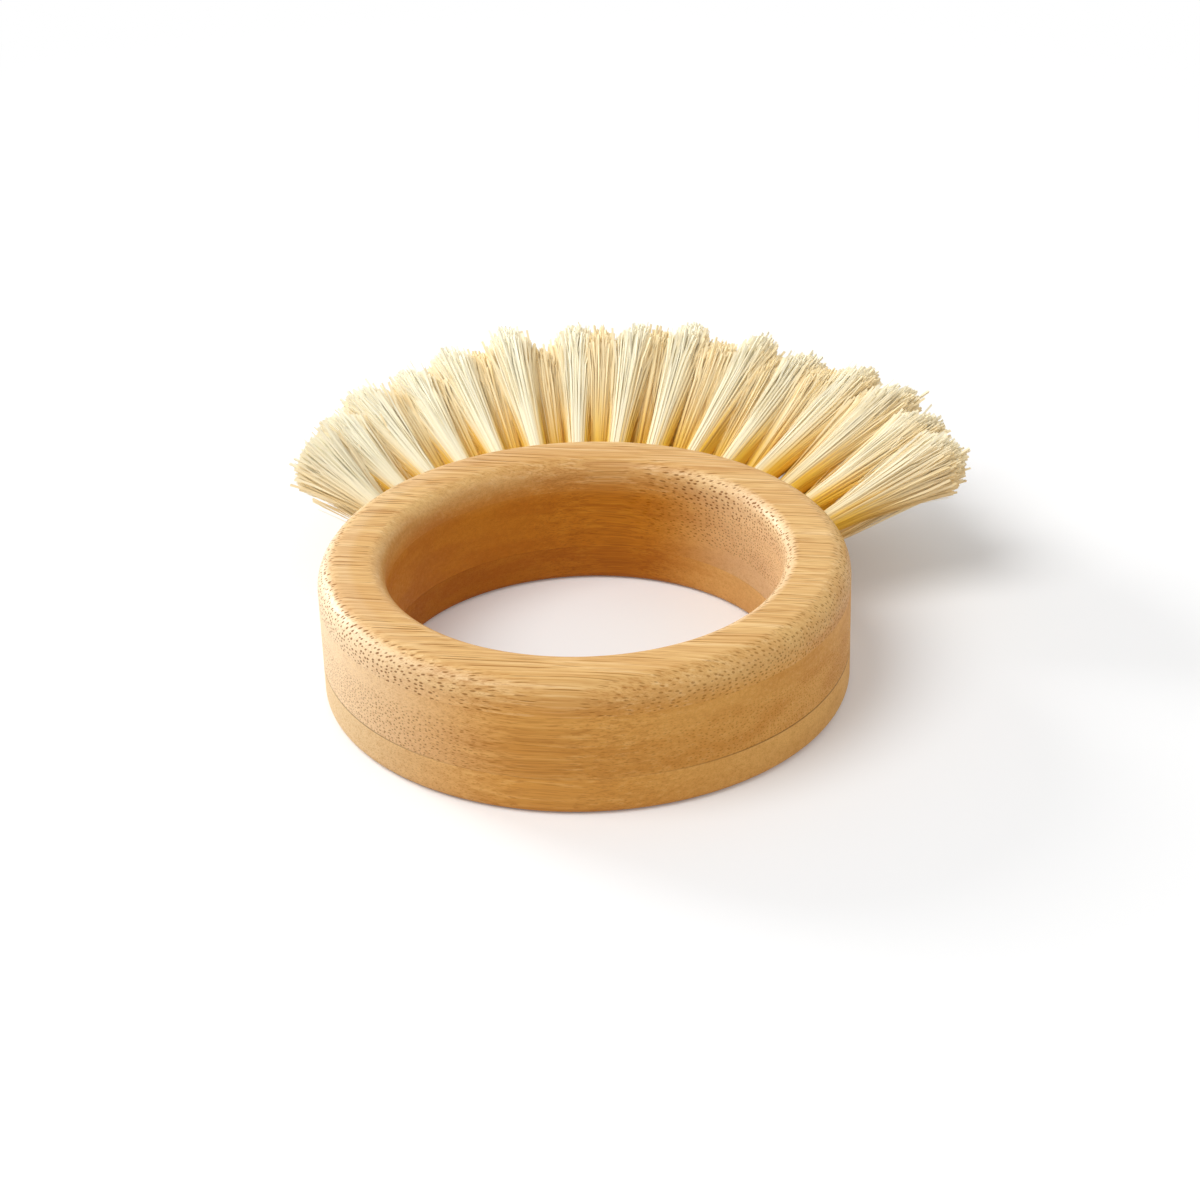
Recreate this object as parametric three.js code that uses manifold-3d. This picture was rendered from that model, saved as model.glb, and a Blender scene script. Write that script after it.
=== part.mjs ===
// A vegetable brush with a ring handle. The ring is three bamboo plies glued flat, and two staggered rows
// of plant-fibre tufts stand out of the back of its outer wall. Each tuft is folded over a flat wire anchor
// at the bottom of a blind socket. Millimetres, +Z up, tufts along +Y, origin under the middle of the brush.
import * as THREE from "three";
import { mergeVertices } from "three/addons/utils/BufferGeometryUtils.js";
import Module from "manifold-3d";

// Ring
const RING_DIAMETER = 95;
const RING_WALL = 12;
const BASE_PLY = 7;
const CORE_PLY = 12;
const TOP_PLY = 6;
const TOP_OUTER_ROUND = 4;
const TOP_INNER_ROUND = 3;
const BASE_ROUND = 1.5;
const RING_SIDES = 60;
const ROUND_STEPS = 2;

// Tuft rows: angles are about the ring's axis, from the middle of the fan
const UPPER_TUFTS = 15;
const TUFT_PITCH = 8.1;
const UPPER_LEAN = 11;
const LOWER_LEAN = 17;
const SOCKET_RADIUS = 2;
const SOCKET_DEPTH = 7;
const SOCKET_SIDES = 8;
const SOCKET_LAND = 0.4; // wood left between a socket and the nearest glue line
const CLEARANCE = 0.3;
const CUT_PAST = 1; // how far a cut runs past the face it opens

// Slice of the wall that carries the tufts
const SLICE_THICKNESS = 2;
const SLICE_MARGIN = 3; // from the last tuft's edge to the slice's end

// Bristles: the tips are trimmed to one arc, which is flatter than the ring
const BRISTLE_REACH = 44.5;
const TRIM_RADIUS = 63;
const TUFT_TIP_RADIUS = 2.6;
const STRAND_RINGS = [1, 4, 7];
const STRAND_RADIUS = 0.28;
const STRAND_SIDES = 3;
const STRAND_SEAT = 1;
const LENGTH_VARIATION = 0.06;

// Wire anchors
const ANCHOR_BITE = 0.2; // how far an anchor's end goes into the wood beside its socket
const ANCHOR_WIDTH = 1.6;
const ANCHOR_THICKNESS = 0.6;
const ANCHOR_FLOOR = 1.3; // folded fibre between an anchor and the end of its socket

// Stretches of the fan, from left to right, which share the tufts evenly
const BANKS = ["bristles_far_left", "bristles_left", "bristles_right", "bristles_far_right"];

const ringRadius = RING_DIAMETER / 2;
const holeRadius = ringRadius - RING_WALL;
const coreLow = BASE_PLY;
const coreHigh = BASE_PLY + CORE_PLY;
const ringHeight = coreHigh + TOP_PLY;
const plugRadius = SOCKET_RADIUS - CLEARANCE;
const radians = THREE.MathUtils.degToRad;

const wasm = await Module();
wasm.setup();

function solid(geometry) {
  const bare = geometry.clone();
  bare.deleteAttribute("normal");
  bare.deleteAttribute("uv");
  const merged = mergeVertices(bare, 1e-4);
  const vertProperties = merged.attributes.position.array;
  const triVerts = new Uint32Array(merged.index.array);
  return new wasm.Manifold(new wasm.Mesh({ numProp: 3, vertProperties, triVerts }));
}

function geometryOf(body) {
  const mesh = body.getMesh();
  const geometry = new THREE.BufferGeometry();
  geometry.setAttribute("position", new THREE.BufferAttribute(mesh.vertProperties, 3));
  geometry.setIndex(new THREE.BufferAttribute(mesh.triVerts, 1));
  geometry.computeVertexNormals();
  return geometry;
}

// A ply turned about Z: a closed section between the hole and the outer wall, with its edges rounded over.
function plyRing(low, high, round) {
  const section = new THREE.Path();
  const corner = (x, y, radius, start) => {
    if (radius > 0) section.absarc(x, y, radius, radians(start), radians(start + 90), false);
    else section.lineTo(x, y);
  };
  const { baseInner = 0, baseOuter = 0, topOuter = 0, topInner = 0 } = round;
  section.moveTo(holeRadius + baseInner, low);
  corner(ringRadius - baseOuter, low + baseOuter, baseOuter, 270);
  corner(ringRadius - topOuter, high - topOuter, topOuter, 0);
  corner(holeRadius + topInner, high - topInner, topInner, 90);
  corner(holeRadius + baseInner, low + baseInner, baseInner, 180);
  const points = section.getPoints(ROUND_STEPS);
  if (!points.at(-1).equals(points[0])) points.push(points[0].clone());
  return new THREE.LatheGeometry(points, RING_SIDES).rotateX(Math.PI / 2);
}

// A block between two radii and two angles from the fan's middle, standing from low to high.
function arcBlock(inner, outer, halfAngle, low, high) {
  const start = Math.PI / 2 - halfAngle;
  const end = Math.PI / 2 + halfAngle;
  const plan = new THREE.Shape();
  plan.absarc(0, 0, outer, start, end, false);
  plan.absarc(0, 0, inner, end, start, true);
  const curveSegments = Math.ceil((RING_SIDES * halfAngle) / Math.PI);
  const block = new THREE.ExtrudeGeometry(plan, { depth: high - low, bevelEnabled: false, curveSegments });
  return block.translate(0, 0, low);
}

// A tuft's own frame: origin where its socket meets the wall, Y out along the socket, X along the wall.
function tuftFrame(angle, height, lean) {
  const turn = new THREE.Matrix4().makeRotationZ(-radians(angle));
  const out = new THREE.Matrix4().makeTranslation(0, ringRadius, height);
  const tilt = new THREE.Matrix4().makeRotationX(radians(lean));
  return turn.multiply(out).multiply(tilt);
}

// How far along its lean a tuft reaches from the wall to the trimmed arc.
function tuftLength(angle, lean) {
  const trimCentre = ringRadius + BRISTLE_REACH - TRIM_RADIUS;
  const across = trimCentre * Math.sin(radians(angle));
  const reach = trimCentre * Math.cos(radians(angle)) + Math.sqrt(TRIM_RADIUS ** 2 - across ** 2);
  return (reach - ringRadius) / Math.cos(radians(lean));
}

// The rows clear the glue lines: a socket slopes down inwards, so the lower row is set by its inner end.
function tuftRows() {
  const slope = Math.tan(radians(LOWER_LEAN)) * SOCKET_DEPTH;
  const lowerHeight = coreLow + SOCKET_LAND + SOCKET_RADIUS + slope;
  const upperHeight = coreHigh - SOCKET_LAND - SOCKET_RADIUS / Math.cos(radians(UPPER_LEAN));
  const tufts = [];
  for (let i = 0; i < 2 * UPPER_TUFTS - 1; i++) {
    const upper = i % 2 === 0;
    const angle = ((i - UPPER_TUFTS + 1) * TUFT_PITCH) / 2;
    const height = upper ? upperHeight : lowerHeight;
    const lean = upper ? UPPER_LEAN : LOWER_LEAN;
    tufts.push({ angle, height, lean, frame: tuftFrame(angle, height, lean) });
  }
  return tufts;
}

const tufts = tuftRows();
const sliceHalfAngle = radians(tufts.at(-1).angle) + (SOCKET_RADIUS + SLICE_MARGIN) / ringRadius;

function rod(radius, from, to) {
  const cylinder = new THREE.CylinderGeometry(radius, radius, to - from, SOCKET_SIDES);
  return cylinder.translate(0, (from + to) / 2, 0);
}

function anchorBlock(gap) {
  const length = 2 * (SOCKET_RADIUS + ANCHOR_BITE + gap);
  const width = ANCHOR_WIDTH + 2 * gap;
  const thickness = ANCHOR_THICKNESS + 2 * gap;
  const depth = SOCKET_DEPTH - ANCHOR_FLOOR - ANCHOR_WIDTH / 2;
  return new THREE.BoxGeometry(length, width, thickness).translate(0, -depth, 0);
}

// Core ply: a channel for the slice of wall, and under each tuft a socket with a bite for its anchor.
function corePly() {
  const channelInner = ringRadius - SLICE_THICKNESS - CLEARANCE;
  const channelHalf = sliceHalfAngle + CLEARANCE / ringRadius;
  let body = solid(plyRing(coreLow, coreHigh, {}));
  const channel = arcBlock(
    channelInner, ringRadius + CUT_PAST, channelHalf, coreLow - CUT_PAST, coreHigh + CUT_PAST);
  body = body.subtract(solid(channel));
  for (const { frame } of tufts) {
    body = body.subtract(solid(rod(SOCKET_RADIUS, -SOCKET_DEPTH, 0).applyMatrix4(frame)));
    body = body.subtract(solid(anchorBlock(CLEARANCE).applyMatrix4(frame)));
  }
  return geometryOf(body);
}

// Everything to one side of a slanted cut that passes midway between two neighbouring tufts.
function besideCut(left, right, side) {
  const reach = RING_DIAMETER;
  const rise = Math.abs(left.height - right.height);
  const run = ringRadius * radians(right.angle - left.angle);
  const slant = Math.atan2(run, rise) * Math.sign(left.height - right.height);
  const block = new THREE.BoxGeometry(reach, reach, reach);
  block.translate((side * (reach + CLEARANCE)) / 2, 0, 0);
  block.rotateY(slant);
  block.translate(0, ringRadius, (left.height + right.height) / 2);
  return block.rotateZ(-radians((left.angle + right.angle) / 2));
}

const strandCorners = Array.from({ length: STRAND_SIDES }, (_, i) => (2 * Math.PI * i) / STRAND_SIDES);
const strandSection = new THREE.Shape(
  strandCorners.map((a) => new THREE.Vector2(STRAND_RADIUS * Math.cos(a), STRAND_RADIUS * Math.sin(a))));

// Strand roots fill a disc in rings, and each tip lies straight out from its root, so no two strands cross.
// Their uneven lengths come from a formula that mirrors left and right of the fan's middle.
function strands(tuft) {
  const length = tuftLength(tuft.angle, tuft.lean);
  const rootReach = plugRadius - STRAND_RADIUS - CLEARANCE / 2;
  const tipReach = TUFT_TIP_RADIUS - STRAND_RADIUS;
  const made = [];
  STRAND_RINGS.forEach((count, ring) => {
    const share = ring / (STRAND_RINGS.length - 1);
    for (let i = 0; i < count; i++) {
      const around = (2 * Math.PI * (i + ring / 2)) / count;
      const wave = Math.sin(Math.abs(tuft.angle) + 4 * ring + 9 * Math.cos(around));
      const at = (reach, along) =>
        new THREE.Vector3(reach * share * Math.sin(around), along, reach * share * Math.cos(around));
      const root = at(rootReach, -STRAND_SEAT);
      const tip = at(tipReach, length).lerp(root, LENGTH_VARIATION * Math.abs(wave));
      const extrudePath = new THREE.LineCurve3(root, tip);
      const strand = new THREE.ExtrudeGeometry(strandSection, { extrudePath, steps: 1 });
      made.push(strand.applyMatrix4(tuft.frame));
    }
  });
  return made;
}

// One stretch of the fan: its slice of the wall, each tuft's folded root with a window for its anchor,
// and the strands.
function bristleBank(first, last) {
  const inner = ringRadius - SLICE_THICKNESS;
  const low = coreLow + CLEARANCE;
  const high = coreHigh - CLEARANCE;
  let body = solid(arcBlock(inner, ringRadius, sliceHalfAngle, low, high));
  if (first > 0) body = body.intersect(solid(besideCut(tufts[first - 1], tufts[first], 1)));
  if (last < tufts.length - 1) body = body.intersect(solid(besideCut(tufts[last], tufts[last + 1], -1)));
  const plugEnd = CLEARANCE - SOCKET_DEPTH;
  for (const tuft of tufts.slice(first, last + 1)) {
    const root = solid(rod(plugRadius, plugEnd, -SLICE_THICKNESS / 2).applyMatrix4(tuft.frame));
    const window = solid(anchorBlock(CLEARANCE).applyMatrix4(tuft.frame));
    body = body.add(root.subtract(window));
    for (const strand of strands(tuft)) body = body.add(solid(strand));
  }
  return geometryOf(body);
}

const bamboo = (color) => new THREE.MeshStandardMaterial({ color, roughness: 0.5, metalness: 0 });
const fibre = new THREE.MeshStandardMaterial({ color: 0xead7a0, roughness: 0.8, metalness: 0 });
const wire = new THREE.MeshStandardMaterial({ color: 0xb9bcc0, roughness: 0.35, metalness: 1 });

const brush = new THREE.Group();

function addPiece(name, geometry, material) {
  const piece = new THREE.Mesh(geometry, material);
  piece.name = name;
  brush.add(piece);
}

const baseRounds = { baseInner: BASE_ROUND, baseOuter: BASE_ROUND };
const topRounds = { topOuter: TOP_OUTER_ROUND, topInner: TOP_INNER_ROUND };
addPiece("base_ply", geometryOf(solid(plyRing(0, coreLow, baseRounds))), bamboo(0xcf9a54));
addPiece("core_ply", corePly(), bamboo(0xc58d48));
addPiece("top_ply", geometryOf(solid(plyRing(coreHigh, ringHeight, topRounds))), bamboo(0xd3a05c));

const bankStart = (bank) => Math.ceil((bank * tufts.length) / BANKS.length - 0.5);
BANKS.forEach((name, bank) => addPiece(name, bristleBank(bankStart(bank), bankStart(bank + 1) - 1), fibre));

tufts.forEach(({ frame }, i) => {
  const name = "tuft_anchor_" + String(i + 1).padStart(2, "0");
  addPiece(name, anchorBlock(0).applyMatrix4(frame), wire);
});

// The origin goes under the middle of the whole brush.
const middle = new THREE.Box3().setFromObject(brush, true).getCenter(new THREE.Vector3());
for (const piece of brush.children) piece.position.set(-middle.x, -middle.y, 0);

export default brush;
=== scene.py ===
# Ring-handled vegetable brush: three bamboo plies, and a fan of plant-fibre tufts in the back of the ring.
# Metres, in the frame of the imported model. Tufts along +Y, ring flat on the floor.
import math

import bmesh
import bpy
import numpy as np
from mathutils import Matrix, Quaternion, Vector


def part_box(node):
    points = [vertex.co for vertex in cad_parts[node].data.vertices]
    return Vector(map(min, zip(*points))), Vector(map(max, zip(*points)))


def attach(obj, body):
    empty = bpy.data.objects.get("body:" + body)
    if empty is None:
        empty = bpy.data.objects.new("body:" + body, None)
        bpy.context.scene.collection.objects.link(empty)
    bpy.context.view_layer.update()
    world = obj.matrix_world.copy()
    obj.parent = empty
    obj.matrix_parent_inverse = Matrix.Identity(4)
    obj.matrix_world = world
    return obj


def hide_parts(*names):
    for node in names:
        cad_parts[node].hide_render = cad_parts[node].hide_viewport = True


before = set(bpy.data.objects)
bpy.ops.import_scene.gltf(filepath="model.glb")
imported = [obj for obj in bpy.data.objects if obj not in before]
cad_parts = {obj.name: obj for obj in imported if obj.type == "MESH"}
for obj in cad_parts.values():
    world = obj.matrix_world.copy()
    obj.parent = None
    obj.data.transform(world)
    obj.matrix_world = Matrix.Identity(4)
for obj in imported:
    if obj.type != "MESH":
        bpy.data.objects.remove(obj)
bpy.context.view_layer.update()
mm = 0.001

baseLow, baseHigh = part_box("base_ply")
coreLow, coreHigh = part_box("core_ply")
topLow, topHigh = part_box("top_ply")
ringRadius = (baseHigh.x - baseLow.x) / 2
ringX = (baseHigh.x + baseLow.x) / 2
ringY = (baseHigh.y + baseLow.y) / 2
print("frame loaded: ring radius", round(ringRadius / mm, 2), "mm, centre y", round(ringY / mm, 2))

# Node helpers

noiseSpan = (0.3, 0.7)  # where most of a noise lies


def linear(red, green, blue):
    def one(value):
        value /= 255
        return value / 12.92 if value <= 0.04045 else ((value + 0.055) / 1.055) ** 2.4
    return (one(red), one(green), one(blue), 1)


def startMaterial(name):
    material = bpy.data.materials.new(name)
    material.use_nodes = True
    return material, material.node_tree, material.node_tree.nodes["Principled BSDF"]


def put(tree, socket, value):
    if isinstance(value, bpy.types.NodeSocket):
        tree.links.new(value, socket)
    else:
        socket.default_value = value


def putAll(tree, sockets, values):
    for socket, value in zip(sockets, values):
        put(tree, socket, value)


def addNode(tree, kind, **sockets):
    node = tree.nodes.new(kind)
    for name, value in sockets.items():
        put(tree, node.inputs[name], value)
    return node


def addMath(tree, operation, *values):
    node = tree.nodes.new("ShaderNodeMath")
    node.operation = operation
    putAll(tree, node.inputs, values)
    return node.outputs[0]


def addRange(tree, value, fromLow, fromHigh, toLow=0.0, toHigh=1.0, smooth=True):
    node = tree.nodes.new("ShaderNodeMapRange")
    node.interpolation_type = "SMOOTHSTEP" if smooth else "LINEAR"
    for name, number in (("Value", value), ("From Min", fromLow), ("From Max", fromHigh),
                         ("To Min", toLow), ("To Max", toHigh)):
        put(tree, node.inputs[name], number)
    return node.outputs["Result"]


def addMapping(tree, vector, scale, place=(0, 0, 0), turn=(0, 0, 0)):
    node = addNode(tree, "ShaderNodeMapping", Vector=vector, Scale=scale, Location=place, Rotation=turn)
    return node.outputs["Vector"]


def addNoise(tree, vector, detail, roughness=0.5):
    node = addNode(tree, "ShaderNodeTexNoise", Vector=vector, Scale=1.0, Detail=detail, Roughness=roughness)
    return node.outputs["Fac"]


def addMix(tree, share, first, second, blend="MIX"):
    node = tree.nodes.new("ShaderNodeMix")
    node.data_type = "RGBA"
    node.blend_type = blend
    put(tree, node.inputs["Factor"], share)
    put(tree, node.inputs["A"], first)
    put(tree, node.inputs["B"], second)
    return node.outputs["Result"]


def mixShaders(tree, share, first, second):
    node = tree.nodes.new("ShaderNodeMixShader")
    putAll(tree, node.inputs, (share, first, second))
    return node.outputs[0]


def splitXyz(tree, vector):
    return addNode(tree, "ShaderNodeSeparateXYZ", Vector=vector).outputs


# Camera, floor and light

cameraLook = {
    "target": (1.561, 8.947, 10.0),  # mm from the ring's middle, where the middle of the picture falls
    "azimuth": 7.0,  # degrees, from the front towards +X
    "elevation": 28.93,
    "roll": -1.8,
    "distance": 515.87,  # mm
    "lens": 84.54,
    "clip": (0.01, 20),
}


def placeCamera(look):
    turn, rise = math.radians(look["azimuth"]), math.radians(look["elevation"])
    forward = Vector((-math.sin(turn) * math.cos(rise), math.cos(turn) * math.cos(rise), -math.sin(rise)))
    target = Vector((ringX, ringY, 0)) + Vector(look["target"]) * mm
    place = target - forward * look["distance"] * mm
    bpy.ops.object.select_all(action="DESELECT")
    bpy.ops.object.camera_add(location=place)
    camera = bpy.context.object
    camera.name = "photoCamera"
    camera.rotation_mode = "QUATERNION"
    level = forward.to_track_quat("-Z", "Y")
    camera.rotation_quaternion = level @ Quaternion((0, 0, 1), math.radians(look["roll"]))
    camera.data.lens = look["lens"]
    camera.data.clip_start, camera.data.clip_end = look["clip"]
    bpy.context.scene.camera = camera


studioLook = {
    "floorSize": 6.0,
    "floorGap": 0.02 * mm,  # keeps the floor from lying in the base's own face
    "floorSeen": (0.86, 0.86, 0.86, 1),
    "floorBounce": (0.74, 0.61, 0.45, 1),  # the warm light that the floor throws back on the brush
    "floorLift": 0.1,  # added white on what the camera sees of the floor
    "floorFade": (0.14, 0.40),  # metres from the middle, over which the floor goes to plain white
    "dome": (1, 1, 1, 1),
    "domeStrength": 0.48,
    "lamps": [
        # name, direction from the brush, distance, size, power
        ("windowLamp", (-0.78, 0.52, 0.34), 2.2, 0.8, 26.0),
        ("softLamp", (-0.46, -0.28, 0.84), 2.2, 1.6, 28.0),
        ("fillLamp", (0.80, -0.30, 0.52), 2.2, 1.6, 4.5),
    ],
}


def aimLamp(name, direction, distance, size, power):
    place = Vector(direction).normalized() * distance
    bpy.ops.object.select_all(action="DESELECT")
    bpy.ops.object.light_add(type="AREA", location=place)
    lamp = bpy.context.object
    lamp.name = name
    lamp.rotation_euler = place.to_track_quat("Z", "Y").to_euler()
    lamp.data.shape = "DISK"
    lamp.data.size = size
    lamp.data.energy = power


def seenDirectly(tree):
    path = tree.nodes.new("ShaderNodeLightPath").outputs
    either = addMath(tree, "MAXIMUM", path["Is Camera Ray"], path["Is Glossy Ray"])
    return addMath(tree, "MAXIMUM", either, path["Is Transmission Ray"])


def layFloor(look):
    bpy.ops.object.select_all(action="DESELECT")
    bpy.ops.mesh.primitive_plane_add(size=look["floorSize"], location=(0, 0, -look["floorGap"]))
    floor = bpy.context.object
    floor.name = "studioFloor"
    material, tree, shader = startMaterial("studioFloorPale")
    tree.nodes.remove(shader)
    bounce = addNode(tree, "ShaderNodeBsdfDiffuse", Color=look["floorBounce"])
    paintedLightPale = addNode(tree, "ShaderNodeBsdfDiffuse", Color=look["floorSeen"])
    lift = addNode(tree, "ShaderNodeEmission", Strength=look["floorLift"])
    lifted = tree.nodes.new("ShaderNodeAddShader")
    putAll(tree, lifted.inputs, (paintedLightPale.outputs[0], lift.outputs[0]))
    away = tree.nodes.new("ShaderNodeVectorMath")
    away.operation = "LENGTH"
    put(tree, away.inputs[0], tree.nodes.new("ShaderNodeTexCoord").outputs["Object"])
    fade = addRange(tree, away.outputs["Value"], *look["floorFade"])
    white = tree.nodes.new("ShaderNodeEmission")
    seen = mixShaders(tree, fade, lifted.outputs[0], white.outputs[0])
    surface = mixShaders(tree, seenDirectly(tree), bounce.outputs[0], seen)
    put(tree, tree.nodes["Material Output"].inputs["Surface"], surface)
    floor.data.materials.append(material)


def lightDome(look):
    world = bpy.data.worlds.new("studioWhite")
    bpy.context.scene.world = world
    world.use_nodes = True
    tree = world.node_tree
    tree.nodes.clear()
    soft = addNode(tree, "ShaderNodeBackground", Color=look["dome"], Strength=look["domeStrength"])
    seen = addNode(tree, "ShaderNodeBackground", Color=look["dome"], Strength=1.0)
    surface = mixShaders(tree, seenDirectly(tree), soft.outputs[0], seen.outputs[0])
    put(tree, tree.nodes.new("ShaderNodeOutputWorld").inputs["Surface"], surface)


placeCamera(cameraLook)
layFloor(studioLook)
lightDome(studioLook)
for lamp in studioLook["lamps"]:
    aimLamp(*lamp)
bpy.context.scene.view_settings.view_transform = "Standard"
print("camera, floor and light set")

# Modelling helpers

flatEnd = 0.9  # a face whose normal has more than this along Z is an end of a cylinder


def pickFaces(piece, test):
    bpy.ops.mesh.select_mode(type="FACE")
    bpy.ops.mesh.select_all(action="DESELECT")
    mesh = bmesh.from_edit_mesh(piece.data)
    for face in mesh.faces:
        face.select_set(bool(test(face)))
    bmesh.update_edit_mesh(piece.data)


def pickRim(piece, radius, height):
    bpy.ops.mesh.select_mode(type="EDGE")
    bpy.ops.mesh.select_all(action="DESELECT")
    mesh = bmesh.from_edit_mesh(piece.data)
    near = 0.02 * mm

    def onRim(vert):
        across = math.hypot(vert.co.x - ringX, vert.co.y - ringY)
        return abs(across - radius) < near and abs(vert.co.z - height) < near

    for edge in mesh.edges:
        edge.select_set(onRim(edge.verts[0]) and onRim(edge.verts[1]))
    bmesh.update_edit_mesh(piece.data)


def finishPiece(piece, material, smoothAngle, slot, *nodes):
    piece.data.materials.clear()
    piece.data.materials.append(material)
    bpy.ops.object.select_all(action="DESELECT")
    piece.select_set(True)
    bpy.context.view_layer.objects.active = piece
    bpy.ops.object.shade_smooth_by_angle(angle=math.radians(smoothAngle))
    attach(piece, "root")
    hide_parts(*nodes)


# Plies

ringLook = {
    "sides": 240,
    "wall": 12 * mm,
    "topOuterRound": 4 * mm,
    "topInnerRound": 3 * mm,
    "baseRound": 1.5 * mm,
    "glueEdge": 0.04 * mm,
    "roundSteps": 9,
    "glueSteps": 2,
    "smoothAngle": 35,
}
holeRadius = ringRadius - ringLook["wall"]


def turnPly(name, low, high, look):
    bpy.ops.object.select_all(action="DESELECT")
    bpy.ops.mesh.primitive_cylinder_add(vertices=look["sides"], radius=ringRadius, depth=high - low,
                                        location=(ringX, ringY, (low + high) / 2))
    ply = bpy.context.object
    ply.name = name
    bpy.ops.object.transform_apply(location=True, rotation=True, scale=True)
    bpy.ops.object.mode_set(mode="EDIT")
    pickFaces(ply, lambda face: abs(face.normal.z) > flatEnd)
    bpy.ops.mesh.inset(thickness=look["wall"], depth=0)
    bpy.ops.mesh.bridge_edge_loops()  # opens the finger hole through both ends
    return ply


def roundRim(ply, radius, height, amount, steps):
    pickRim(ply, radius, height)
    bpy.ops.mesh.bevel(offset=amount, segments=steps, profile=0.5, affect="EDGES")


def roundGlue(ply, radius, height, look):
    roundRim(ply, radius, height, look["glueEdge"], look["glueSteps"])


def closePly(ply):
    bpy.ops.mesh.select_all(action="SELECT")
    bpy.ops.mesh.normals_make_consistent(inside=False)
    bpy.ops.object.mode_set(mode="OBJECT")


basePly = turnPly("basePly", baseLow.z, baseHigh.z, ringLook)
for radius in (ringRadius, holeRadius):
    roundRim(basePly, radius, baseLow.z, ringLook["baseRound"], ringLook["roundSteps"])
    roundGlue(basePly, radius, baseHigh.z, ringLook)
closePly(basePly)

corePly = turnPly("corePly", coreLow.z, coreHigh.z, ringLook)
for radius in (ringRadius, holeRadius):
    roundGlue(corePly, radius, coreLow.z, ringLook)
closePly(corePly)

topPly = turnPly("topPly", topLow.z, topHigh.z, ringLook)
roundRim(topPly, ringRadius, topHigh.z, ringLook["topOuterRound"], ringLook["roundSteps"])
roundRim(topPly, holeRadius, topHigh.z, ringLook["topInnerRound"], ringLook["roundSteps"])
closePly(topPly)
print("plies turned:", [len(ply.data.polygons) for ply in (basePly, corePly, topPly)])

# Tuft places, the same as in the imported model

fanLook = {
    "upperTufts": 15,
    "pitch": 8.1,  # degrees round the ring
    "upperLean": 11.0,
    "lowerLean": 17.0,
    "socketRadius": 2.0 * mm,
    "socketDepth": 7.0 * mm,
    "socketLand": 0.4 * mm,
    "reach": 44.5 * mm,
    "trimRadius": 63.0 * mm,
}


def placeTufts(look):
    upperLean, lowerLean = math.radians(look["upperLean"]), math.radians(look["lowerLean"])
    lowerSlope = math.tan(lowerLean) * look["socketDepth"]
    lowerHeight = coreLow.z + look["socketLand"] + look["socketRadius"] + lowerSlope
    upperHeight = coreHigh.z - look["socketLand"] - look["socketRadius"] / math.cos(upperLean)
    trimRadius, last = look["trimRadius"], look["upperTufts"] - 1
    trimCentre = ringRadius + look["reach"] - trimRadius
    spots = []
    for i in range(2 * last + 1):
        upper = i % 2 == 0
        angle = math.radians((i - last) * look["pitch"] / 2)
        lean = upperLean if upper else lowerLean
        radial = Vector((math.sin(angle), math.cos(angle), 0))
        reach = trimCentre * math.cos(angle) + math.sqrt(trimRadius ** 2 - (trimCentre * math.sin(angle)) ** 2)
        spots.append({
            "share": (i - last) / last,  # -1 at the left end, 1 at the right
            "upper": upper,
            "mouth": Vector((ringX, ringY, upperHeight if upper else lowerHeight)) + radial * ringRadius,
            "along": radial * math.cos(lean) + Vector((0, 0, math.sin(lean))),
            "across": Vector((math.cos(angle), -math.sin(angle), 0)),
            "rise": radial * -math.sin(lean) + Vector((0, 0, math.cos(lean))),
            "length": (reach - ringRadius) / math.cos(lean),
        })
    return spots


tuftSpots = placeTufts(fanLook)

# Sockets drilled in the core ply

drillLook = {"sides": 28, "lip": 0.3 * mm, "lipFlare": 1.12, "past": 1.2 * mm, "weld": 0.002 * mm}


def drillSockets(ply, spots, look):
    radius, depth = fanLook["socketRadius"], fanLook["socketDepth"]
    bpy.ops.object.select_all(action="DESELECT")
    bpy.ops.mesh.primitive_cylinder_add(vertices=look["sides"], radius=radius, depth=depth - look["lip"],
                                        location=(0, 0, -(depth + look["lip"]) / 2))
    drill = bpy.context.object
    drill.name = "drill"
    bpy.ops.object.transform_apply(location=True)
    bpy.ops.object.mode_set(mode="EDIT")
    pickFaces(drill, lambda face: face.normal.z > flatEnd)
    for rise, flare in ((look["lip"], look["lipFlare"]), (look["past"], 1.0)):
        bpy.ops.mesh.extrude_region_move(TRANSFORM_OT_translate={"value": (0, 0, rise)})
        bpy.ops.transform.resize(value=(flare, flare, 1))
    bpy.ops.object.mode_set(mode="OBJECT")
    drills = [drill]
    for _ in spots[1:]:
        copy = drill.copy()
        copy.data = drill.data.copy()
        bpy.context.collection.objects.link(copy)
        drills.append(copy)
    bpy.ops.object.select_all(action="DESELECT")
    for copy, spot in zip(drills, spots):
        copy.rotation_mode = "QUATERNION"
        copy.rotation_quaternion = spot["along"].to_track_quat("Z", "Y")
        copy.location = spot["mouth"]
        copy.select_set(True)
    bpy.context.view_layer.objects.active = drill
    bpy.ops.object.join()
    bpy.ops.object.transform_apply(location=True, rotation=True, scale=True)
    bpy.ops.object.select_all(action="DESELECT")
    ply.select_set(True)
    bpy.context.view_layer.objects.active = ply
    cut = ply.modifiers.new("sockets", "BOOLEAN")
    cut.operation = "DIFFERENCE"
    cut.solver = "EXACT"
    cut.object = drill
    bpy.ops.object.modifier_apply(modifier=cut.name)
    bpy.data.objects.remove(drill)
    bpy.ops.object.mode_set(mode="EDIT")
    bpy.ops.mesh.select_all(action="SELECT")
    bpy.ops.mesh.dissolve_degenerate(threshold=look["weld"])  # drops the empty faces where a drill meets an edge
    bpy.ops.object.mode_set(mode="OBJECT")


drillSockets(corePly, tuftSpots, drillLook)
print("sockets drilled:", len(tuftSpots), "faces", len(corePly.data.polygons))

# Bamboo: lengths in mm, "Across" from the ring's middle to the right, "Deep" from the finger hole into the wall

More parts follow.
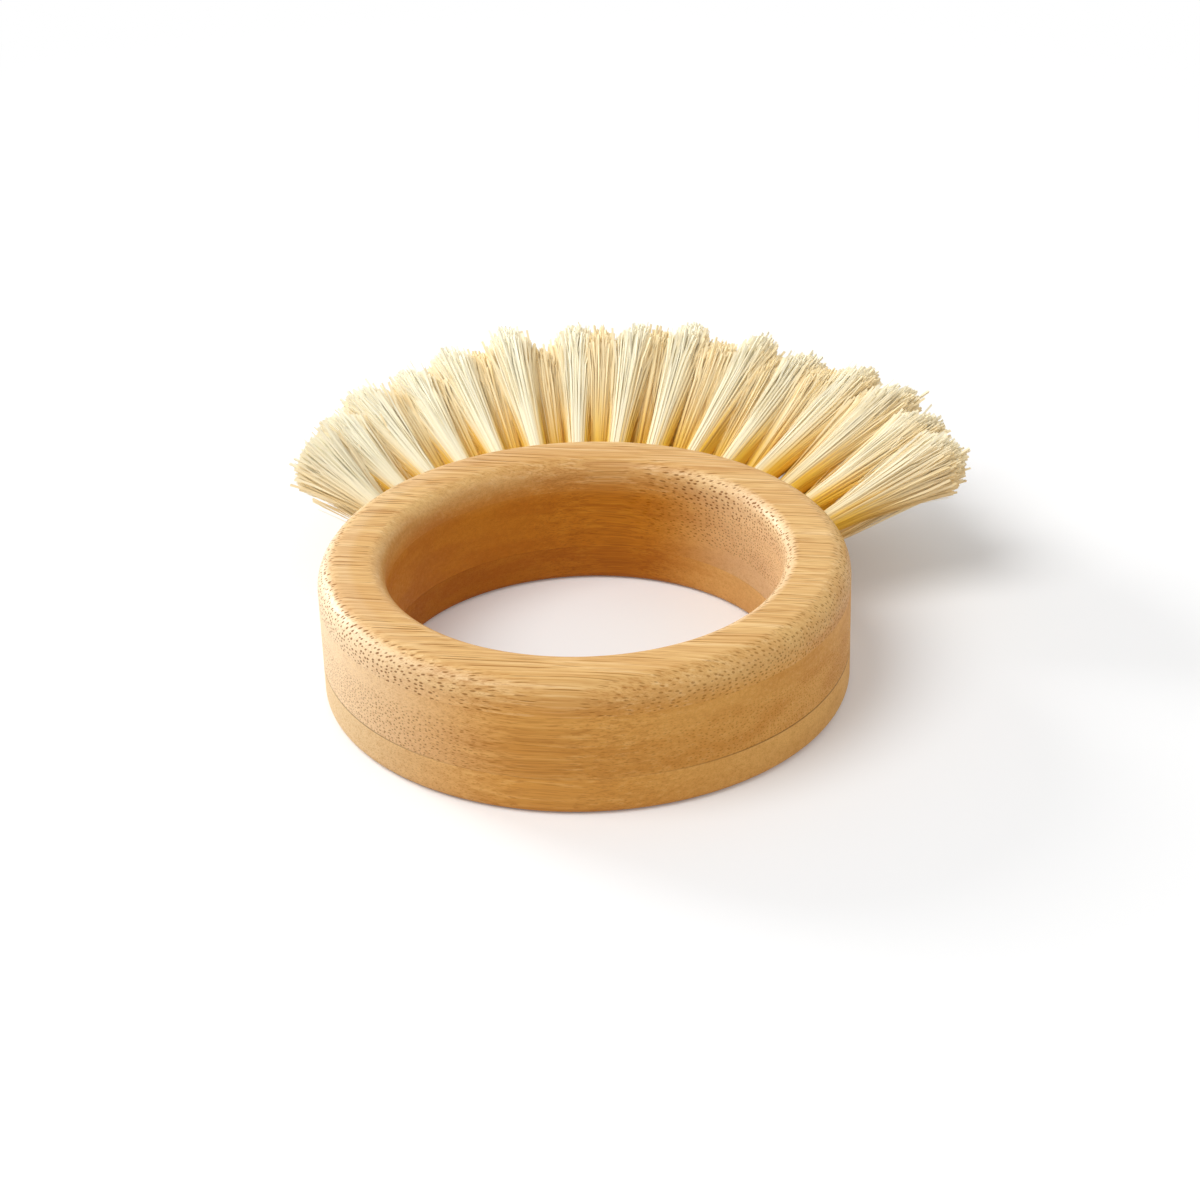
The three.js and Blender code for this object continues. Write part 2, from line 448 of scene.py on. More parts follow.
bambooLook = {
    # tones
    "light": linear(228, 185, 117),
    "deep": linear(217, 167, 98),
    "streak": linear(184, 126, 58),
    "bundle": linear(122, 72, 28),
    "fadeLight": linear(225, 171, 92),  # the lower tone, which the top ply takes on where it meets the core
    "fadeDeep": linear(213, 154, 74),
    "fadeFrom": 22.5, "fadeTo": 19.2,  # heights
    "paintedLightPale": linear(252, 229, 194),
    "paleSide": 0.95,  # painted light: how pale the wood is painted towards the left side, where the light falls
    "paleAcross": (-4.0, -46.0),
    "paleHeights": (24.96, 23.6), "paleOnTop": 0.2,
    "outerDeep": (5.0, 7.0),
    "paintedLightInner": 0.45,  # painted light: paler also on the right wall of the finger hole, which faces the light
    "paleInnerAcross": (8.0, 30.0), "paleInnerDeep": (3.0, 1.5),
    "paintedLightRight": 0.0,  # painted light: lighter on the outer wall at the right, which lies in shadow
    "paintedLightRightAcross": (8.0, 38.0),
    "gleam": linear(246, 214, 160),  # light streaks between the dark ones, also the tone of the painted light at the right
    "gleamShare": 0.5,
    "streakDark": 0.62,
    "fineDark": 0.62,
    # grain
    "shift": (0, 0, 0),
    "grainTurn": 2.0,  # degrees
    "wander": 2.4, "wanderScale": (0.03, 0.07, 0.07),
    "broadScale": (0.008, 0.09, 0.24), "broadSpan": (0.35, 0.65),
    "streakScale": (0.03, 1.3, 1.6), "streakSpan": (0.45, 0.75), "gleamSpan": (0.5, 0.28),
    "fineScale": (0.09, 5.0, 5.0), "fineSpan": (0.5, 0.64),
    "grainNoise": 0.6,
    "endGrain": (0.1, 0.6),  # how far a face looks along the fibres
    "endStreaks": 0.45,  # what is left of the streaks on end grain
    # fibre bundles
    "bundlePitch": 1.35,  # bundles to a mm
    "bundleRandom": 0.72,
    "bundleRun": 0.06, "bundleGap": 0.22, "bundleGapSoft": 0.16,
    "bundleApart": 60.0,  # gives each bundle its own run of gaps
    "bundleSize": 0.32, "bundleSizes": (0.7, 1.15), "bundleLeast": 0.002, "bundleCore": 0.4,
    "dotDepth": 0.85,
    "streakDepth": 0.72, "streakThin": 0.66,
    "crowdFrom": 0.0, "crowdTo": 1.0, "crowdLow": 1.0,  # heights between which the bundles set in
    "sideFrom": 18.0, "sideTo": -36.0, "sideLow": 1.0,  # the same across the brush
    "innerDeep": (3.4, 2.6), "innerAcross": (-6.0, 16.0),
    "innerFrom": 11.0, "innerSoft": 0.5, "innerLow": 0.08, "innerHigh": 1.0,
    # painted shade in the finger hole, glue and gloss
    "holeShadeTint": (0.80, 0.585, 0.12, 1),  # painted shade: tint that darkens the wall of the finger hole
    "holeShadeDeep": (1.6, 0.1), "holeShadeHeights": (23.5, 17.0), "holeShadeAcross": (25.0, 6.0),
    "glue": 0.0,
    "glueColour": linear(112, 70, 30),
    "glueWidth": (0.05, 0.2),
    "glueAcross": (14.0, 38.0), "glueFront": 0.12,
    "glueDeep": (1.0, 3.0), "glueInside": 0.2,
    "rough": (0.38, 0.49), "dotRough": 0.45,
    "gloss": 0.28, "coat": 0.07, "coatRough": 0.26,
    "dotMatt": 0.8,  # how dark a bundle is where gloss and coat are gone
    "bump": 0.4, "bumpDepth": 0.06 * mm, "fineRelief": 0.25,
}
baseLook = bambooLook | {
    "fadeFrom": -2.0, "fadeTo": -1.0,  # in the lower tone all over
    # painted light: paler on the left and in the finger hole, lighter on the right outer wall
    "paintedLightPale": linear(228, 206, 166), "paleSide": 0.9, "paintedLightInner": 0.2, "paintedLightRight": 0.35,
    "gleam": linear(242, 200, 128), "gleamShare": 0.4,
    "shift": (40, 11, 0),
    "bundlePitch": 1.9, "bundleSize": 0.24, "dotDepth": 0.3, "streakDepth": 0.2, "sideLow": 0.4,
    "innerFrom": -1.0, "innerLow": 0.3, "innerHigh": 0.3,
    # painted shade in the finger hole, darker still on the base
    "holeShadeTint": (0.64, 0.43, 0.11, 1), "glue": 0.7,
    "rough": (0.47, 0.58), "gloss": 0.2, "coat": 0.04,
}
coreLook = bambooLook | {
    "fadeFrom": -2.0, "fadeTo": -1.0,
    "gleam": linear(240, 198, 128), "gleamShare": 0.45, "streakDark": 0.6,
    "shift": (90, 37, 0),
    "bundlePitch": 1.65, "bundleSize": 0.29, "bundleGap": 0.16, "dotDepth": 0.62, "streakDepth": 0.45,
    "crowdFrom": 16.6, "crowdTo": 14.2, "crowdLow": 0.2, "sideLow": 0.5,
    "glue": 0.7,
    "rough": (0.47, 0.58), "gloss": 0.2, "coat": 0.04,
}
topLook = bambooLook | {"sideLow": 0.6}


def bambooFinish(name, look):
    material, tree, shader = startMaterial(name)
    place = tree.nodes.new("ShaderNodeTexCoord").outputs["Object"]
    fromMiddle = addMapping(tree, place, (1 / mm, 1 / mm, 1 / mm), (-ringX / mm, -ringY / mm, 0))
    inMm = addMapping(tree, fromMiddle, (1, 1, 1), look["shift"], (0, 0, math.radians(look["grainTurn"])))
    sideX, sideY, height = splitXyz(tree, fromMiddle)
    radius = addMath(tree, "SQRT", addMath(tree, "ADD", addMath(tree, "MULTIPLY", sideX, sideX),
                                           addMath(tree, "MULTIPLY", sideY, sideY)))
    fromHole = addMath(tree, "SUBTRACT", radius, holeRadius / mm)

    # the grain wanders a little from its straight line
    slow = addMapping(tree, inMm, look["wanderScale"])
    wander = addNode(tree, "ShaderNodeTexNoise", Vector=slow, Scale=1.0, Detail=1.0).outputs["Color"]
    pulled = tree.nodes.new("ShaderNodeVectorMath")
    pulled.operation = "MULTIPLY_ADD"
    putAll(tree, pulled.inputs, (wander, (0, look["wander"], look["wander"]), inMm))
    grain = pulled.outputs[0]
    grainX, grainY, grainZ = splitXyz(tree, grain)

    # fibre bundles run along X: dots on end grain, pointed streaks where a face cuts along them
    bundleAt = addNode(tree, "ShaderNodeCombineXYZ", X=addMath(tree, "MULTIPLY", grainY, look["bundlePitch"]),
                       Y=addMath(tree, "MULTIPLY", grainZ, look["bundlePitch"])).outputs[0]
    cells = tree.nodes.new("ShaderNodeTexVoronoi")
    cells.voronoi_dimensions = "2D"
    put(tree, cells.inputs["Vector"], bundleAt)
    cells.inputs["Scale"].default_value = 1.0
    cells.inputs["Randomness"].default_value = look["bundleRandom"]
    lotA, lotB, lotC = splitXyz(tree, cells.outputs["Color"])
    runAt = addNode(tree, "ShaderNodeCombineXYZ", X=addMath(tree, "MULTIPLY", grainX, look["bundleRun"]),
                    Y=addMath(tree, "MULTIPLY", lotA, look["bundleApart"]),
                    Z=addMath(tree, "MULTIPLY", lotB, look["bundleApart"])).outputs[0]
    present = addRange(tree, addNoise(tree, runAt, 1.0), look["bundleGap"],
                       look["bundleGap"] + look["bundleGapSoft"])
    facing = splitXyz(tree, tree.nodes.new("ShaderNodeNewGeometry").outputs["Normal"])[0]
    endGrain = addRange(tree, addMath(tree, "ABSOLUTE", facing), *look["endGrain"])
    smallest, largest = (look["bundleSize"] * share for share in look["bundleSizes"])
    size = addMath(tree, "MULTIPLY", present, addRange(tree, lotC, 0.0, 1.0, smallest, largest, False))
    size = addMath(tree, "MULTIPLY", size, addRange(tree, endGrain, 0.0, 1.0, look["streakThin"], 1.0, False))
    bundles = addRange(tree, cells.outputs["Distance"], addMath(tree, "ADD", size, look["bundleLeast"]),
                       addMath(tree, "MULTIPLY", size, look["bundleCore"]))

    # tones: broad bands, fine streaks and hair-fine lines
    broad = addNoise(tree, addMapping(tree, grain, look["broadScale"]), 2.0)
    streak = addNoise(tree, addMapping(tree, grain, look["streakScale"]), 3.0, look["grainNoise"])
    fine = addNoise(tree, addMapping(tree, grain, look["fineScale"]), 2.0, look["grainNoise"])
    band = addRange(tree, broad, *look["broadSpan"])
    colour = addMix(tree, band, look["light"], look["deep"])
    lowDown = addRange(tree, height, look["fadeFrom"], look["fadeTo"])
    colour = addMix(tree, lowDown, colour, addMix(tree, band, look["fadeLight"], look["fadeDeep"]))
    outerHalf = addRange(tree, fromHole, *look["outerDeep"])
    # painted light: the outer walls are painted paler towards the lit left side, less so on the top
    paintedLightLeft = addMath(tree, "MULTIPLY", addRange(tree, sideX, *look["paleAcross"], 0.0, look["paleSide"]),
                    addRange(tree, height, *look["paleHeights"], look["paleOnTop"], 1.0))
    paintedLightLeft = addMath(tree, "MULTIPLY", paintedLightLeft, outerHalf)
    # painted light: the right wall of the finger hole is painted paler where the light falls on it
    paintedLightInner = addRange(tree, sideX, *look["paleInnerAcross"], 0.0, look["paintedLightInner"])
    paintedLightInner = addMath(tree, "MULTIPLY", paintedLightInner, addRange(tree, fromHole, *look["paleInnerDeep"]))
    colour = addMix(tree, addMath(tree, "ADD", paintedLightLeft, paintedLightInner), colour, look["paintedLightPale"])
    # painted light: the shaded right of the outer wall is lightened towards the pale streak tone
    paintedLightRight = addRange(tree, sideX, *look["paintedLightRightAcross"], 0.0, look["paintedLightRight"])
    colour = addMix(tree, addMath(tree, "MULTIPLY", paintedLightRight, outerHalf), colour, look["gleam"])
    # the streaks fade out on end grain, which shows dots instead
    cutAlong = addRange(tree, endGrain, 0.0, 1.0, 1.0, look["endStreaks"])
    for tone, span, most, toned in ((streak, look["gleamSpan"], look["gleamShare"], look["gleam"]),
                                    (streak, look["streakSpan"], look["streakDark"], look["streak"]),
                                    (fine, look["fineSpan"], look["fineDark"], look["streak"])):
        share = addMath(tree, "MULTIPLY", addRange(tree, tone, *span, 0.0, most), cutAlong)
        colour = addMix(tree, share, colour, toned)

    # where the bundles show: by height, by side, and on the wall of the finger hole
    crowd = addRange(tree, height, look["crowdFrom"], look["crowdTo"], look["crowdLow"], 1.0)
    bySide = addRange(tree, sideX, look["sideFrom"], look["sideTo"], look["sideLow"], 1.0)
    outside = addMath(tree, "MULTIPLY", crowd, bySide)
    inner = addRange(tree, fromHole, *look["innerDeep"])
    innerShow = addMath(tree, "MULTIPLY",
                        addRange(tree, height, look["innerFrom"], look["innerFrom"] + look["innerSoft"]),
                        addRange(tree, sideX, *look["innerAcross"], look["innerLow"], look["innerHigh"]))
    shown = addNode(tree, "ShaderNodeMix", Factor=inner, A=outside, B=innerShow).outputs[0]
    dark = addMath(tree, "MULTIPLY", bundles, shown)
    depth = addRange(tree, endGrain, 0.0, 1.0, look["streakDepth"], look["dotDepth"], False)
    colour = addMix(tree, addMath(tree, "MULTIPLY", dark, depth), colour, look["bundle"])

    # painted shade: the wall of the finger hole is darkened, more lower down and away from the lit right
    holeShade = addMath(tree, "MULTIPLY", addRange(tree, fromHole, *look["holeShadeDeep"]),
                   addRange(tree, height, *look["holeShadeHeights"]))
    holeShade = addMath(tree, "MULTIPLY", holeShade, addRange(tree, sideX, *look["holeShadeAcross"]))
    colour = addMix(tree, holeShade, colour, look["holeShadeTint"], "MULTIPLY")

    # the glue line over the base, clearer at the sides than in front, and faint inside
    if look["glue"]:
        away = addMath(tree, "ABSOLUTE", addMath(tree, "SUBTRACT", height, baseHigh.z / mm))
        line = addRange(tree, away, *look["glueWidth"], look["glue"], 0.0)
        atSide = addRange(tree, addMath(tree, "ABSOLUTE", sideX), *look["glueAcross"], look["glueFront"], 1.0)
        atOuter = addRange(tree, fromHole, *look["glueDeep"], look["glueInside"], 1.0)
        line = addMath(tree, "MULTIPLY", addMath(tree, "MULTIPLY", line, atSide), atOuter)
        colour = addMix(tree, line, colour, look["glueColour"])
    put(tree, shader.inputs["Base Color"], colour)

    rough = addMath(tree, "ADD", addRange(tree, streak, *noiseSpan, *look["rough"]),
                    addMath(tree, "MULTIPLY", dark, look["dotRough"]))
    put(tree, shader.inputs["Roughness"], rough)
    put(tree, shader.inputs["Specular IOR Level"], addRange(tree, dark, 0.0, look["dotMatt"], look["gloss"], 0.0))
    put(tree, shader.inputs["Coat Weight"], addRange(tree, dark, 0.0, look["dotMatt"], look["coat"], 0.0))
    shader.inputs["Coat Roughness"].default_value = look["coatRough"]
    relief = addMath(tree, "SUBTRACT", addMath(tree, "MULTIPLY", fine, look["fineRelief"]), dark)
    bump = addNode(tree, "ShaderNodeBump", Height=relief, Strength=look["bump"], Distance=look["bumpDepth"])
    put(tree, shader.inputs["Normal"], bump.outputs["Normal"])
    return material


smoothAngle = ringLook["smoothAngle"]
finishPiece(basePly, bambooFinish("bambooBase", baseLook), smoothAngle, "bamboo_base", "base_ply")
finishPiece(corePly, bambooFinish("bambooCore", coreLook), smoothAngle, "bamboo_core", "core_ply")
finishPiece(topPly, bambooFinish("bambooTop", topLook), smoothAngle, "bamboo_top", "top_ply")
print("bamboo finished")

# Bristles: fine strands, too many for hand tools, so their points are worked out and meshed at once

bristleLook = {
    "seed": 417,
    "banks": [
        # piece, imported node, tufts from left to right
        ("bristlesFarLeft", "bristles_far_left", 7),
        ("bristlesLeft", "bristles_left", 7),
        ("bristlesRight", "bristles_right", 8),
        ("bristlesFarRight", "bristles_far_right", 7),
    ],
    # fine ones over the whole length, and thicker pointed locks that fill the head, half widths in mm
    "strands": {"count": 480, "crowding": 0.2, "steps": (0, 0.14, 0.45, 0.8, 1),
                "widths": (0.13, 0.13, 0.14, 0.14, 0.09), "section": ((0, 0.14), (1, -0.09), (-1, -0.09))},
    "locks": {"count": 500, "crowding": 0.5, "steps": (0.55, 0.84, 1),
              "widths": (0.01, 0.25, 0.27), "section": ((0, 0.9), (0.95, -0.45), (-0.95, -0.45))},
    "widthSpan": (0.8, 0.4),  # the least share of that width, and what chance adds
    "strandTurn": 2.39996,  # the golden angle
    "rootJitter": 0.02, "tipJitter": 0.05,
    "roll": 0.1,  # how far the strands turn from facing outwards
    "wave": 0.24 * mm, "waveSpan": (2.0, 2.5),
    "curl": 0.4 * mm,
    "stray": 0.015, "strayOut": 1.3, "strayLonger": 0.06,
    # the close-packed inside
    "heartSides": 110,
    "heartSteps": (0, 0.14, 0.3, 0.45, 0.6, 0.72, 0.82, 0.9, 0.94),
    "heartFill": (0.97, 0.97, 0.97, 0.97, 0.97, 0.96, 0.94, 0.86, 0.62),  # share of the tuft's own spread
    "heartRib": 0.02, "heartUneven": 0.4,
    # the tuft
    "rootDepth": 4.2 * mm,
    "rootSpread": 1.78 * mm,
    "tipSpread": 4.9 * mm,
    "endTipSpread": 6.2 * mm,
    "flare": (0.85, 1.3),  # lower and upper row, above 1 the tuft opens late
    "endLift": (3.8 * mm, 2.0 * mm), "liftPower": 4,  # how far the tips rise at the left and right end of the fan
    "clumps": 12, "clumpPull": 0.1, "clumpUneven": 0.7,
    "roundTop": 0.19, "roundRaise": 0.4,
    "ragged": 0.014,
    "tuftUneven": 0.018,
    "tuftAim": 0.02,
    "lowerShort": 0.08,  # the lower row shows as notches between the heads of the upper one
    "sideTrim": (0.05, 0.09),  # the trim runs out to the right
    "cutIn": 0.13, "cutFrom": 0.7, "cutOver": 0.3,  # and is cut in at the left end
    # strips of the texture space, one for each step of gold and tone
    "golds": 16, "tones": 4,
    "stripEdges": (0.1, 0.9), "stripEnds": (0.5, 0.35),
    "alongEnds": (0.006, 0.994), "alongRound": 0.005,
    "stripMargin": 0.002,
}

# Painted shade: gold between the tufts, at their sides, underneath, more on the shaded right and all over the
# lower row, but not where the fan ends
paintedShadeGoldLook = {
    "least": 0.15, "leastRight": 0.15,
    "rightStraight": 0.2, "rightCurved": 0.7, "rightPower": 1.6,
    "leftCurved": 0.8, "leftPower": 2.4,
    "endFrom": 0.9, "endOver": 0.1, "endLoss": 0.45,
    "under": 0.35, "underRight": 0.1,
    "lowerLeast": 0.84, "lowerMore": 0.16,
    "lowerEndFrom": 0.7, "lowerEndOver": 0.2, "lowerEndLoss": 0.5,
    "heart": 0.25, "heartEndLoss": 0.2,
    "jitter": 0.06, "most": 0.999,
}


def paintedShadeGoldAt(x, y, spot, look):
    share = spot["share"]
    ends = np.clip((np.sign(x) * share - look["endFrom"]) / look["endOver"], 0, 1)
    rightSide = look["rightStraight"] * x + look["rightCurved"] * np.abs(x) ** look["rightPower"]
    side = np.where(x > 0, rightSide, look["leftCurved"] * np.abs(x) ** look["leftPower"])
    shadeGold = (look["least"] + look["leastRight"] * share + side * (1 - look["endLoss"] * ends)
            + (look["under"] + look["underRight"] * share) * np.maximum(0, -y))
    if spot["upper"]:
        return shadeGold
    nearEnd = min(1, max(0, abs(share) - look["lowerEndFrom"]) / look["lowerEndOver"])
    return (look["lowerLeast"] + look["lowerMore"] * shadeGold) * (1 - look["lowerEndLoss"] * nearEnd)


def pickStrip(shadeGold, look, rng):
    shadeGold = np.clip(shadeGold + rng.normal(0, paintedShadeGoldLook["jitter"], shadeGold.shape), 0, paintedShadeGoldLook["most"])
    strip = np.floor(shadeGold * look["golds"]) * look["tones"] + rng.integers(look["tones"], size=shadeGold.shape)
    return strip / (look["golds"] * look["tones"])


def shapeTuft(spot, look, rng):
    share = spot["share"]
    straight, curved = look["sideTrim"]
    cut = look["cutIn"] * (max(0, -share - look["cutFrom"]) / look["cutOver"]) ** 2
    trim = 1 + straight * share + curved * share * abs(share) - cut
    trim -= 0 if spot["upper"] else look["lowerShort"]
    full = spot["length"] * (trim + rng.normal(0, look["tuftUneven"]))
    reach, turn = np.sqrt(rng.random(look["clumps"])), 2 * np.pi * rng.random(look["clumps"])
    lift = look["endLift"][share > 0] * abs(share) ** look["liftPower"]
    return {
        "full": full,
        "tipSpread": look["tipSpread"] + (look["endTipSpread"] - look["tipSpread"]) * share ** 2,
        "flare": look["flare"][spot["upper"]],
        "aim": rng.normal(0, look["tuftAim"], 2) * full + np.array([0, lift]),
        "clumpAt": np.stack([reach * np.cos(turn), reach * np.sin(turn)], 1),
        "clumpLength": rng.normal(0, look["ragged"] * look["clumpUneven"], look["clumps"]),
        "axes": [np.array(spot[name]) for name in ("mouth", "along", "across", "rise")],
    }


def growStrands(spot, tuft, look, rng, kind):
    steps, count = np.array(kind["steps"]), kind["count"]
    order = np.arange(count)
    reach = ((order + 0.5) / count) ** kind["crowding"]
    turn = order * look["strandTurn"] + 2 * np.pi * rng.random()
    root = np.stack([reach * np.cos(turn), reach * np.sin(turn)], 1)
    root = root + rng.normal(0, look["rootJitter"], (count, 2))
    clump = ((root[:, None] - tuft["clumpAt"][None]) ** 2).sum(2).argmin(1)
    pull = look["clumpPull"] * rng.random(count)[:, None]
    tip = root * (1 - pull) + tuft["clumpAt"][clump] * pull + rng.normal(0, look["tipJitter"], (count, 2))
    rounded = 1 - look["roundTop"] * (tip ** 2).sum(1) + look["roundRaise"] * look["roundTop"]
    length = tuft["full"] * (rounded + tuft["clumpLength"][clump] + rng.normal(0, look["ragged"], count))
    stray = rng.random(count) < look["stray"]
    tip[stray] *= look["strayOut"]
    length[stray] *= 1 + look["strayLonger"] * rng.random(stray.sum())
    depth = look["rootDepth"]
    alongNow = -depth + (length[:, None] + depth) * steps[None]
    out = np.clip(alongNow / length[:, None], 0, 1)
    opened = (out ** tuft["flare"])[..., None]
    side = root[:, None] * look["rootSpread"] * (1 - opened) + tip[:, None] * tuft["tipSpread"] * opened
    slowest, faster = look["waveSpan"]
    phase, speed = 2 * np.pi * rng.random((count, 2)), slowest + faster * rng.random((count, 2))
    size = look["wave"] * rng.random((count, 2))
    bend = np.sin(phase[:, None] + speed[:, None] * out[..., None]) - np.sin(phase)[:, None]
    side = side + size[:, None] * bend * out[..., None] + tuft["aim"] * out[..., None]
    side[:, -1] += rng.normal(0, look["curl"], (count, 2))
    mouth, along, across, rise = tuft["axes"]
    middle = mouth + alongNow[..., None] * along + side[..., :1] * across + side[..., 1:] * rise
    thinnest, thicker = look["widthSpan"]
    width = np.array(kind["widths"]) * mm * (thinnest + thicker * rng.random(count))[:, None]
    # the broad side of a strand faces outwards from its tuft
    facing = (np.arctan2(tip[:, 1], tip[:, 0]) + rng.normal(0, look["roll"], count))[:, None]
    outward = np.cos(facing) * across + np.sin(facing) * rise
    sideways = np.sin(facing) * across - np.cos(facing) * rise
    section = np.array(kind["section"])  # across and outwards, in half widths of a strand
    ring = section[:, 0, None] * sideways[:, None] + section[:, 1, None] * outward[:, None]
    strands = middle[:, :, None] + width[:, :, None, None] * ring[:, None]
    return strands, pickStrip(paintedShadeGoldAt(tip[:, 0], tip[:, 1], spot, paintedShadeGoldLook), look, rng)[:, None]


def growHeart(spot, tuft, look, rng):
    # the close-packed strands inside, as one ribbed form
    steps, sides = np.array(look["heartSteps"]), look["heartSides"]
    alongNow = -look["rootDepth"] + (tuft["full"] + look["rootDepth"]) * steps
    out = np.clip(alongNow / tuft["full"], 0, 1)
    spread = look["rootSpread"] + (tuft["tipSpread"] - look["rootSpread"]) * out ** tuft["flare"]
    uneven = look["heartRib"] * look["heartUneven"]
    rib = 1 + rng.normal(0, look["heartRib"], sides)[None] + rng.normal(0, uneven, (len(steps), sides))
    angle = -2 * np.pi * np.arange(sides) / sides
    reach = (spread * np.array(look["heartFill"]))[:, None] * rib
    sideX = reach * np.cos(angle) + tuft["aim"][0] * out[:, None]
    sideY = reach * np.sin(angle) + tuft["aim"][1] * out[:, None]
    mouth, along, across, rise = tuft["axes"]
    heart = mouth + alongNow[:, None, None] * along + sideX[..., None] * across + sideY[..., None] * rise
    # painted shade: the inside of each tuft is more golden, where it shows in shade between the strands
    deeper = paintedShadeGoldLook["heart"] - paintedShadeGoldLook["heartEndLoss"] * spot["share"] ** 2
    shadeGold = deeper + paintedShadeGoldAt(np.cos(angle), np.sin(angle), spot, paintedShadeGoldLook)
    return heart[None], pickStrip(shadeGold, look, rng)[None]


def meshTubes(build, tubes, strip, steps, look):
    count, rings, sides = tubes.shape[:3]
    bins = look["golds"] * look["tones"]
    first = (build["size"] + np.arange(count) * rings * sides)[:, None, None]
    level = (np.arange(rings - 1) * sides)[None, :, None]
    here = np.arange(sides)[None, None]
    there = (here + 1) % sides
    walls = np.stack([first + level + here, first + level + there,
                      first + level + sides + there, first + level + sides + here], -1)
    steps = np.array(steps)
    up = np.stack([steps[:-1], steps[:-1], steps[1:], steps[1:]], -1)
    left, right = look["stripEdges"]
    wallU = np.broadcast_to(strip[:, None, :, None] + np.array([left, right, right, left]) / bins, walls.shape)
    wallV = np.broadcast_to(up[None, :, None], walls.shape)
    build["points"].append(tubes.reshape(-1, 3))
    build["faces"] += walls.reshape(-1, 4).tolist()
    build["uv"].append(np.stack([wallU.reshape(-1), wallV.reshape(-1)], 1))
    turn = 2 * np.pi * np.arange(sides) / sides
    middle, around = look["stripEnds"]
    for level, step, order in ((0, steps[0], -1), (rings - 1, steps[-1], 1)):
        ends = first[:, 0] + level * sides + np.arange(sides)[None, ::order]
        endU = np.broadcast_to(strip[:, :1] + (middle + around * np.cos(turn)) / bins, ends.shape)
        endV = np.clip(step, *look["alongEnds"]) + look["alongRound"] * np.sin(turn)
        build["faces"] += ends.tolist()
        build["uv"].append(np.stack([endU.reshape(-1), np.broadcast_to(endV, ends.shape).reshape(-1)], 1))
    build["size"] += count * rings * sides


def growBank(name, node, spots, look, rng):
    build = {"size": 0, "points": [], "faces": [], "uv": []}
    for spot in spots:
        tuft = shapeTuft(spot, look, rng)
        for kind in (look["strands"], look["locks"]):
            meshTubes(build, *growStrands(spot, tuft, look, rng, kind), kind["steps"], look)
        meshTubes(build, *growHeart(spot, tuft, look, rng), look["heartSteps"], look)
    mesh = bpy.data.meshes.new(name)
    mesh.from_pydata(np.concatenate(build["points"]).tolist(), [], build["faces"])
    mesh.update()
    margin = look["stripMargin"]
    uv = margin + (1 - 2 * margin) * np.concatenate(build["uv"])
    mesh.uv_layers.new(name="OFBake").data.foreach_set("uv", uv.astype(np.float32).reshape(-1))
    piece = bpy.data.objects.new(name, mesh)
    bpy.context.collection.objects.link(piece)
    mesh.polygons.foreach_set("use_smooth", np.zeros(len(mesh.polygons), bool))
    mesh.materials.append(fibreFinish)
    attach(piece, "root")
    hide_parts(node)
    return piece


fibreLook = {
    "root": linear(255, 245, 212),
    "middle": linear(255, 248, 220), "middleAlong": (0.15, 0.6),
    "tip": linear(255, 250, 227), "tipAlong": (0.55, 1.0),
    "straw": linear(252, 232, 178), "strawSpan": (0.48, 0.75), "strawShare": 0.34,
    "toneScale": (64, 2.5, 1),
    # painted shade: the warm gold of the fibre where it lies in shade between and under the tufts
    "shadeGold": linear(246, 198, 66),
    "goldSpan": (0.05, 1.0), "goldFull": 0.85,
    "goldEnds": (0.35, 0.9),  # how far up the palest and the most golden strands the gold goes
    "goldStart": 0.35,  # share of that length where it begins to fade
    "goldTip": 0.38,  # what is left of it at the tips
    "rough": (0.52, 0.7),
    "gloss": 0.3,
}


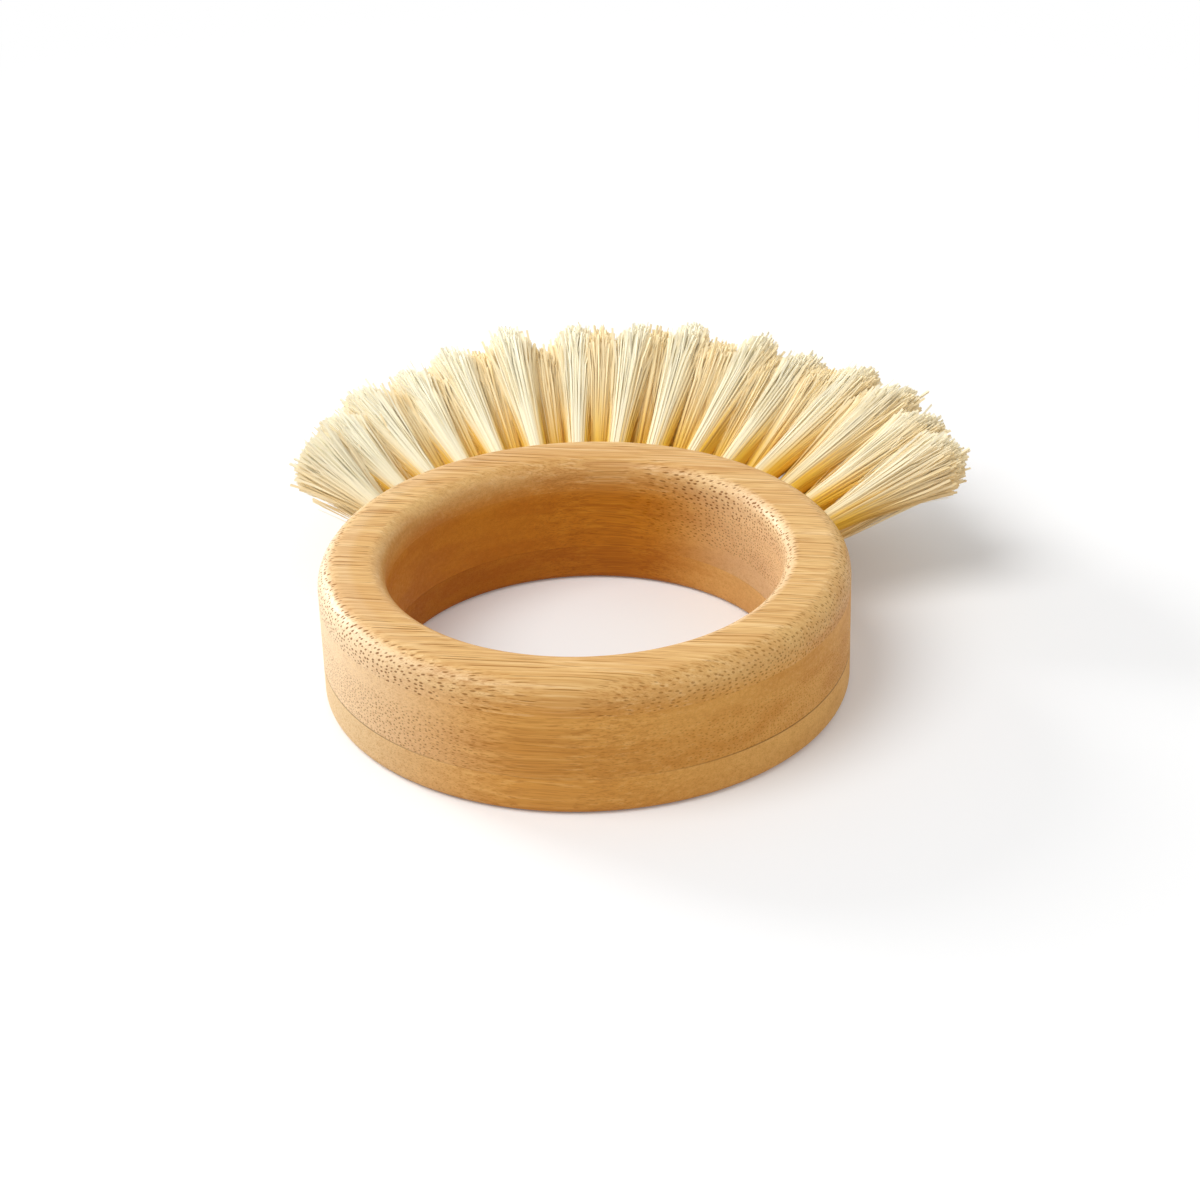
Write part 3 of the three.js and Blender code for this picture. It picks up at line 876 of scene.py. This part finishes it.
def makeFibre(look):
    material, tree, shader = startMaterial("plantFibre")
    strip = tree.nodes.new("ShaderNodeUVMap")
    strip.uv_map = "OFBake"
    acrossNow, along, _ = splitXyz(tree, strip.outputs["UV"])
    tone = addNoise(tree, addMapping(tree, strip.outputs["UV"], look["toneScale"]), 2.0)
    colour = addMix(tree, addRange(tree, along, *look["middleAlong"]), look["root"], look["middle"])
    colour = addMix(tree, addRange(tree, along, *look["tipAlong"]), colour, look["tip"])
    straw = addRange(tree, tone, *look["strawSpan"], 0.0, look["strawShare"])
    colour = addMix(tree, straw, colour, look["straw"])
    # painted shade: gold from the roots up, as far as each strip's share of shade
    goldEnd = addRange(tree, acrossNow, 0.0, 1.0, *look["goldEnds"], False)
    goldMost = addRange(tree, acrossNow, 0.0, look["goldFull"], *look["goldSpan"])
    shadeGold = addRange(tree, along, addMath(tree, "MULTIPLY", goldEnd, look["goldStart"]), goldEnd, goldMost,
                    addMath(tree, "MULTIPLY", goldMost, look["goldTip"]))
    colour = addMix(tree, shadeGold, colour, look["shadeGold"])
    put(tree, shader.inputs["Base Color"], colour)
    put(tree, shader.inputs["Roughness"], addRange(tree, tone, *noiseSpan, *look["rough"]))
    shader.inputs["Specular IOR Level"].default_value = look["gloss"]
    return material


fibreFinish = makeFibre(fibreLook)
fibreRng = np.random.default_rng(bristleLook["seed"])
firstTuft = 0
for name, node, tuftCount in bristleLook["banks"]:
    bank = growBank(name, node, tuftSpots[firstTuft:firstTuft + tuftCount], bristleLook, fibreRng)
    firstTuft += tuftCount
    bank.data.calc_loop_triangles()
    print("grown", bank.name, len(bank.data.loop_triangles), "triangles")

# Wire anchors keep their own shape

wireLook = {
    "colour": linear(188, 190, 194),
    "dark": linear(150, 152, 156),
    "lineScale": (400, 9000, 9000),  # drawing lines
    "rough": (0.28, 0.44),
}


def drawWire(look):
    material, tree, shader = startMaterial("drawnWire")
    place = tree.nodes.new("ShaderNodeTexCoord").outputs["Object"]
    lines = addNoise(tree, addMapping(tree, place, look["lineScale"]), 3.0)
    put(tree, shader.inputs["Base Color"], addMix(tree, lines, look["dark"], look["colour"]))
    put(tree, shader.inputs["Roughness"], addRange(tree, lines, *noiseSpan, *look["rough"]))
    shader.inputs["Metallic"].default_value = 1.0
    return material


wire = drawWire(wireLook)
for name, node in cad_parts.items():
    if name.startswith("tuft_anchor"):
        node.data.materials.clear()
        node.data.materials.append(wire)
print("anchors finished")
